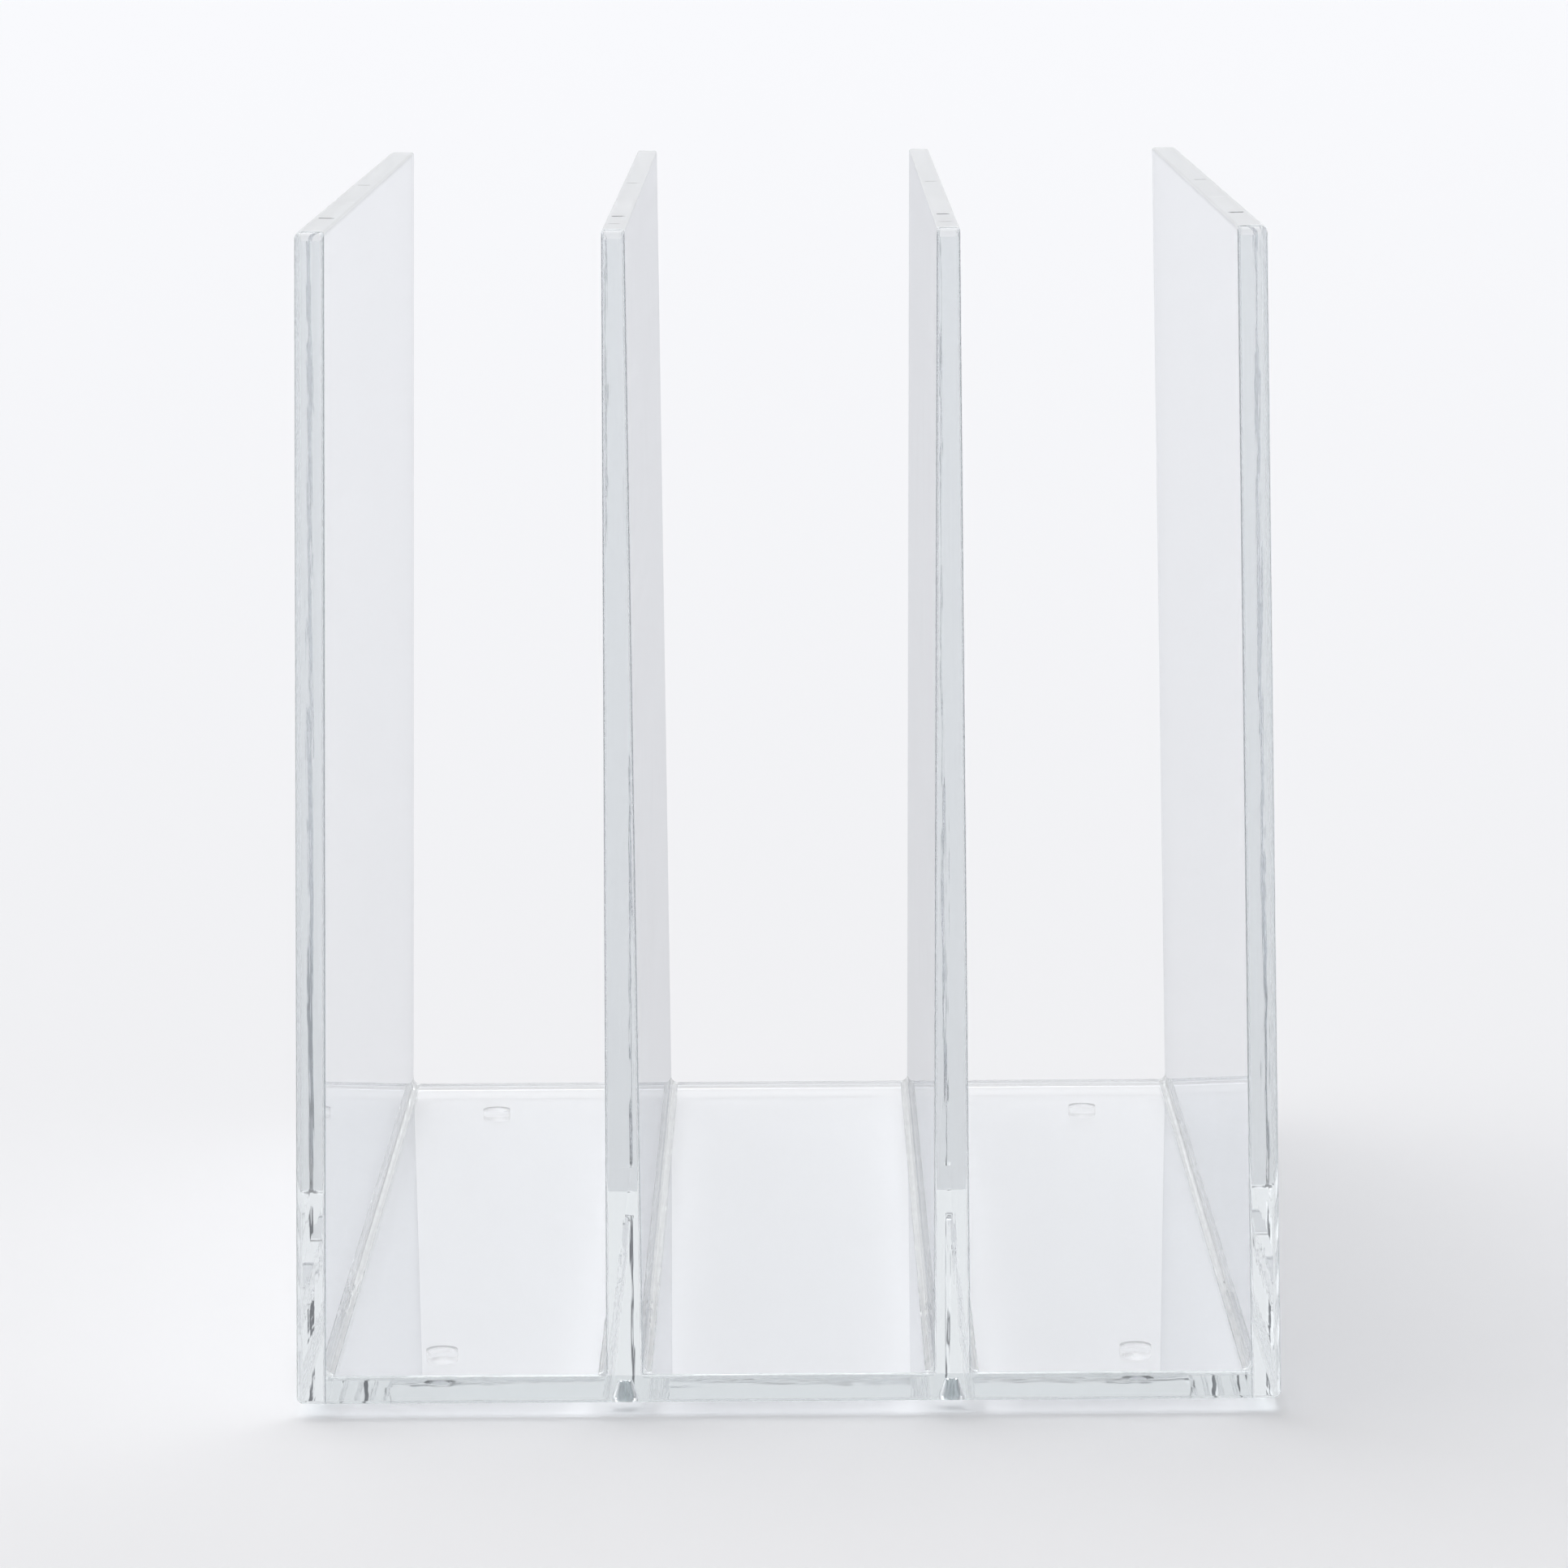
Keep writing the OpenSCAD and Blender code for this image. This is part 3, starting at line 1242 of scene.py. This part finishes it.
@dataclass
class CementBead:
    """The cement along one inside corner, with a hollow face that swells and thins a little.

    Attributes:
        plan: The rack's shared places.
        node: The CAD node that it stands for.
        corner_x: X of the corner on the base plate.
        towards: The sign of X from the corner out over the plate.
        wall_angle: The wall's slope away from the bead.
        seed: Which pattern of swelling it has.
        swell: Most that the hollow face moves.
        waves: Lengths of the swelling's waves along the rack.
        stations: Sections along the rack.
        arc_steps: Chords in the hollow face.
    """

    plan: Plan
    node: str
    corner_x: float
    towards: int
    wall_angle: float
    seed: int
    swell: float = 0.05 * MM
    waves: tuple[float, ...] = (47 * MM, 23 * MM, 11 * MM, 6.1 * MM)
    stations: int = 141
    arc_steps: int = 8

    def hollow(self, y: np.ndarray) -> np.ndarray:
        """Works out the hollow face's sections.

        A section is an arc that meets the plate and the wall smoothly: its centre is one leg out
        along the plate, and as high as the leg times the tangent of half the corner's angle. The
        arc moves away from the centre by the swell times a half sine over the arc times the mean
        of some sines along the rack.

        Args:
            y: (n,) Y of the sections.

        Returns:
            (n, arc_steps + 1, 2) distances from the corner along the plate and up.
        """
        leg = self.plan.bead_leg
        on_plate = np.array([leg, 0.0])
        on_wall = leg * np.array([-math.sin(self.wall_angle), math.cos(self.wall_angle)])
        centre = leg * np.array([1.0, math.tan((math.pi / 2 + self.wall_angle) / 2)])
        radius = np.linalg.norm(on_plate - centre)
        ends = [math.atan2(*(q - centre)[::-1]) % (2 * math.pi) for q in (on_plate, on_wall)]
        turn = np.linspace(*ends, self.arc_steps + 1)
        arc = centre + radius * np.stack([np.cos(turn), np.sin(turn)], axis=1)
        start = np.random.default_rng(self.seed).uniform(0, 2 * math.pi, len(self.waves))
        waves = np.sin(y[:, None] / np.array(self.waves) * 2 * math.pi + start)
        sway = waves.sum(axis=1) / len(self.waves)
        bulge = np.sin(np.linspace(0, math.pi, len(turn)))
        moved = (self.swell * sway[:, None] * bulge)[:, :, None]
        return arc[None] + moved * ((arc - centre) / radius)

    def build(self) -> None:
        """Builds the bead: at each section the corner and the hollow face around it."""
        p = self.plan
        y = np.linspace(-p.bead_half, p.bead_half, self.stations)
        corner = np.zeros((self.stations, 1, 2))
        flat = np.concatenate([corner, self.hollow(y), corner], axis=1)
        x = self.corner_x + self.towards * flat[:, :, 0]
        z = p.base_top_z + flat[:, :, 1] + p.gap
        points = np.stack([x, np.broadcast_to(y[:, None], x.shape), z], axis=2)
        skin = np.full((self.stations - 1, self.arc_steps + 2), SmallSkin.OPEN.value)
        skin[:, [0, -1]] = SmallSkin.BOND.value
        shell = Shell(f"{self.node}_cement", CEMENT_SKINS)
        shell.grid(points, skin, skin == SmallSkin.OPEN.value)
        shell.ring(points[0, :-1], SmallSkin.OPEN)
        shell.ring(points[-1, :-1], SmallSkin.OPEN)
        show(shell.build(), Slot.CEMENT, self.node)


@dataclass
class Foot:
    """One round foot: a profile turned about an upright axis, bonded over its whole top.

    Attributes:
        plan: The rack's shared places.
        side: Which side it is on.
        end: Which end it is at.
        edge_r: Rounding of its lower edge.
        turns: Chords around it.
    """

    plan: Plan
    side: Side
    end: End
    edge_r: float = 0.4 * MM
    turns: int = 64

    def build(self) -> None:
        """Builds the foot: each profile point at (radius, height) turned by a full circle."""
        node = f"{self.end.word}_{self.side.word}_foot"
        low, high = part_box(node)
        middle = (low + high) / 2
        radius = (high.x - low.x) / 2
        edge = corner_arc((radius - self.edge_r, self.edge_r), self.edge_r, 3)
        profile = np.concatenate([edge, [[radius, high.z - self.plan.gap]]])
        turn = np.linspace(0, 2 * math.pi, self.turns + 1)[None, :]
        r, z = profile[:, :1], profile[:, 1:]
        x = middle.x + r * np.cos(turn)
        y = middle.y + r * np.sin(turn)
        points = np.stack([x, y, np.broadcast_to(z, x.shape)], axis=2)
        shell = Shell(f"{node}_clear", FOOT_SKINS)
        shell.grid(points, SmallSkin.OPEN, True)
        shell.ring(points[0, :-1], SmallSkin.OPEN)
        shell.ring(points[-1, :-1], SmallSkin.BOND)
        show(shell.build(), Slot.FOOT, node)


# ---------------- studio


@dataclass(frozen=True)
class Lobe:
    """A soft bright or dark patch of the sky.

    Attributes:
        towards: Direction of its middle.
        edge: Cosine of the angle from the middle where it ends.
        core: Cosine of the angle from the middle inside which it is at its full strength.
        colour: What it multiplies the sky by, at full strength.
    """

    towards: tuple[float, float, float]
    edge: float
    core: float
    colour: Colour


@dataclass(frozen=True)
class Camera:
    """A long lens a little above the rack, looking slightly down.

    Attributes:
        place: Where it stands.
        pitch: How far it looks down.
        roll: How far it is turned about its line of sight.
        yaw: How far it is turned about the upright.
        lens: Focal length in millimetres.
        sensor: Width of the sensor in millimetres.
        reach: Nearest and farthest distance that it sees.
    """

    place: tuple[float, float, float] = (0.00194, -0.9792, 0.2137)
    pitch: float = 0.1449
    roll: float = 0.0069
    yaw: float = 0.00228
    lens: float = 152.26
    sensor: float = 36.0
    reach: tuple[float, float] = (0.01, 60.0)

    def build(self) -> None:
        """Adds the camera and makes it the scene's."""
        data = bpy.data.cameras.new("camera")
        data.sensor_width = self.sensor
        data.lens = self.lens
        data.clip_start, data.clip_end = self.reach
        made = bpy.data.objects.new("camera", data)
        turn = (
            Matrix.Rotation(self.yaw, 4, "Z")
            @ Matrix.Rotation(math.pi / 2 - self.pitch, 4, "X")
            @ Matrix.Rotation(-self.roll, 4, "Z")
        )
        made.matrix_world = Matrix.Translation(self.place) @ turn
        bpy.context.collection.objects.link(made)
        bpy.context.scene.camera = made


@dataclass(frozen=True)
# The floor's gradient is painted light: its colour goes from darker near by to paler far off,
# standing in for how the light falls off.
class Floor:
    """A pale paper floor, which grows paler with distance.

    Attributes:
        half: Half the length of its side.
        gap: Clearance under the feet, so that neither surface hides the other.
        near: Its colour near by, darker as painted shade.
        far: Its colour far off, paler as painted light.
        start: Distance from the rack's middle forward to where distances are measured from.
        least: Least distance; what is closer has the same colour.
        near_rate: One over the distance where it is of the near colour.
        far_rate: One over the distance where it is of the far colour.
        roughness: Roughness of the paper.
    """

    half: float = 15.0
    gap: float = 0.02 * MM
    near: Colour = (0.81, 0.81, 0.815)
    far: Colour = (0.93, 0.935, 0.95)
    start: float = 0.98
    least: float = 0.5
    near_rate: float = 1.26
    far_rate: float = 0.12
    roughness: float = 0.9

    def material(self) -> bpy.types.Material:
        """Builds the paper, whose colour changes evenly with one over the distance.

        Returns:
            The material.
        """
        made, graph, shader = new_material("floor_paper_painted_light")
        # Painted light falloff: the colour is painted from the near colour to the far colour by
        # distance.
        y = graph.add("SeparateXYZ", {"Vector": graph.place("Object")}).outputs["Y"]
        ahead = graph.add("Math", {0: y, 1: self.start}, operation="ADD").outputs["Value"]
        held = graph.add("Math", {0: ahead, 1: self.least}, operation="MAXIMUM").outputs["Value"]
        rate = graph.add("Math", {0: 1.0, 1: held}, operation="DIVIDE").outputs["Value"]
        spread = {"Value": rate, "From Min": self.near_rate, "From Max": self.far_rate}
        share = graph.add("MapRange", spread).outputs["Result"]
        colours = {"A": (*self.near, 1.0), "B": (*self.far, 1.0)}
        colour = graph.add("Mix", {"Factor": share} | colours, data_type="RGBA").outputs["Result"]
        paper = {"Base Color": colour, "Roughness": self.roughness, "Specular IOR Level": 0.0}
        graph.feed(shader, paper)
        return made

    def build(self) -> None:
        """Builds the floor: one square."""
        mesh = bpy.data.meshes.new("floor")
        x = np.array([-self.half, self.half, self.half, -self.half])
        y = np.array([-self.half, -self.half, self.half, self.half])
        corners = np.stack([x, y, np.full(4, -self.gap)], axis=1).tolist()
        mesh.from_pydata(corners, [], [(0, 1, 2, 3)])
        mesh.materials.append(self.material())
        piece = bpy.data.objects.new("floor", mesh)
        bpy.context.collection.objects.link(piece)


@dataclass(frozen=True)
class Studio:
    """A pale floor under a soft sky, brightest overhead, behind and at the left.

    Attributes:
        floor: The floor.
        camera: The camera.
        sky: Colour of the sky away from its lobes.
        lobes: The sky's patches.
        bounces: Most times that light turns at clear walls.
        clear_layers: Most bonded interfaces that light passes straight through.
    """

    floor: Floor = Floor()
    camera: Camera = Camera()
    sky: Colour = (0.406, 0.406, 0.41)
    lobes: tuple[Lobe, ...] = (
        Lobe((-0.75, 0.35, 0.60), 0.55, 0.95, (1.75, 1.75, 1.75)),
        Lobe((-0.10, 0.10, 1.0), 0.86, 0.94, (4.9, 4.9, 4.9)),
        Lobe((0.0, -1.0, 0.25), 0.30, 0.85, (0.5, 0.5, 0.51)),
        Lobe((0.95, 0.0, 0.30), 0.40, 0.90, (0.72, 0.72, 0.74)),
        Lobe((0.0, 1.0, 0.2), 0.3, 0.85, (2.6, 2.6, 2.6)),
    )
    bounces: int = 256
    clear_layers: int = 64

    def world(self) -> None:
        """Lights the scene with the sky.

        A lobe's strength in a direction is a smooth step, from its edge to its core, of the cosine
        of the angle between that direction and its middle.
        """
        world = bpy.data.worlds.new("studio_sky")
        world.use_nodes = True
        graph = Graph(world.node_tree)
        place = graph.place("Generated")
        colour = (*self.sky, 1.0)
        for lobe in self.lobes:
            towards = Vector(lobe.towards).normalized()
            cosine = graph.add("VectorMath", {0: place, 1: towards}, operation="DOT_PRODUCT")
            ends = {"From Min": lobe.edge, "From Max": lobe.core}
            spread = {"Value": cosine.outputs["Value"]} | ends
            strength = graph.add("MapRange", spread, interpolation_type="SMOOTHSTEP")
            mix = {"Factor": strength.outputs["Result"], "A": colour, "B": (*lobe.colour, 1.0)}
            patched = graph.add("Mix", mix, data_type="RGBA", blend_type="MULTIPLY")
            colour = patched.outputs["Result"]
        graph.feed(world.node_tree.nodes["Background"], {"Color": colour})
        bpy.context.scene.world = world

    def exposure(self) -> None:
        """Sets plain colours and lets light pass through many clear walls."""
        scene = bpy.context.scene
        scene.view_settings.view_transform = "Standard"
        scene.cycles.max_bounces = self.bounces
        scene.cycles.transmission_bounces = self.bounces
        scene.cycles.glossy_bounces = self.bounces
        scene.cycles.transparent_max_bounces = self.clear_layers
        scene.cycles.blur_glossy = 0.0

    def build(self) -> None:
        """Sets up the floor, sky, camera and exposure."""
        self.floor.build()
        self.world()
        self.camera.build()
        self.exposure()


# ---------------- assembly

# Seed of each side's first cement bead; the next ones count on from it.
FIRST_SEEDS = {Side.LEFT: 1, Side.RIGHT: 4}


def beads(plan: Plan, side: Side) -> list[CementBead]:
    """Lists one side's cement beads: one at the side panel and one each side of the divider.

    Args:
        plan: The rack's shared places.
        side: Which side of the rack.

    Returns:
        The beads, each with a seed of its own.
    """
    sign, half_foot = side.value, plan.divider_foot_t / 2
    rows = (
        ("side", sign * plan.end_top_x, -sign, -plan.lean),
        ("divider_outer", sign * (plan.divider_x + half_foot), sign, plan.taper),
        ("divider_inner", sign * (plan.divider_x - half_foot), -sign, plan.taper),
    )
    return [
        CementBead(plan, f"{side.word}_{where}_bead", x, towards, angle, seed)
        for seed, (where, x, towards, angle) in enumerate(rows, FIRST_SEEDS[side])
    ]


def main() -> None:
    """Builds the rack's pieces in order, then the studio."""
    logging.basicConfig(level=logging.INFO, format="%(message)s")
    plan = Plan()
    BasePlate(plan).build()
    for side in Side:
        SidePanel(plan, side, (SCRATCH, FINE_SCRATCH)).build()
        Divider(plan, side, (NICK, SCRATCH, FINE_SCRATCH)).build()
    for side in Side:
        for bead in beads(plan, side):
            bead.build()
        for end in End:
            Foot(plan, side, end).build()
    Studio().build()


if __name__ == "__main__":
    main()
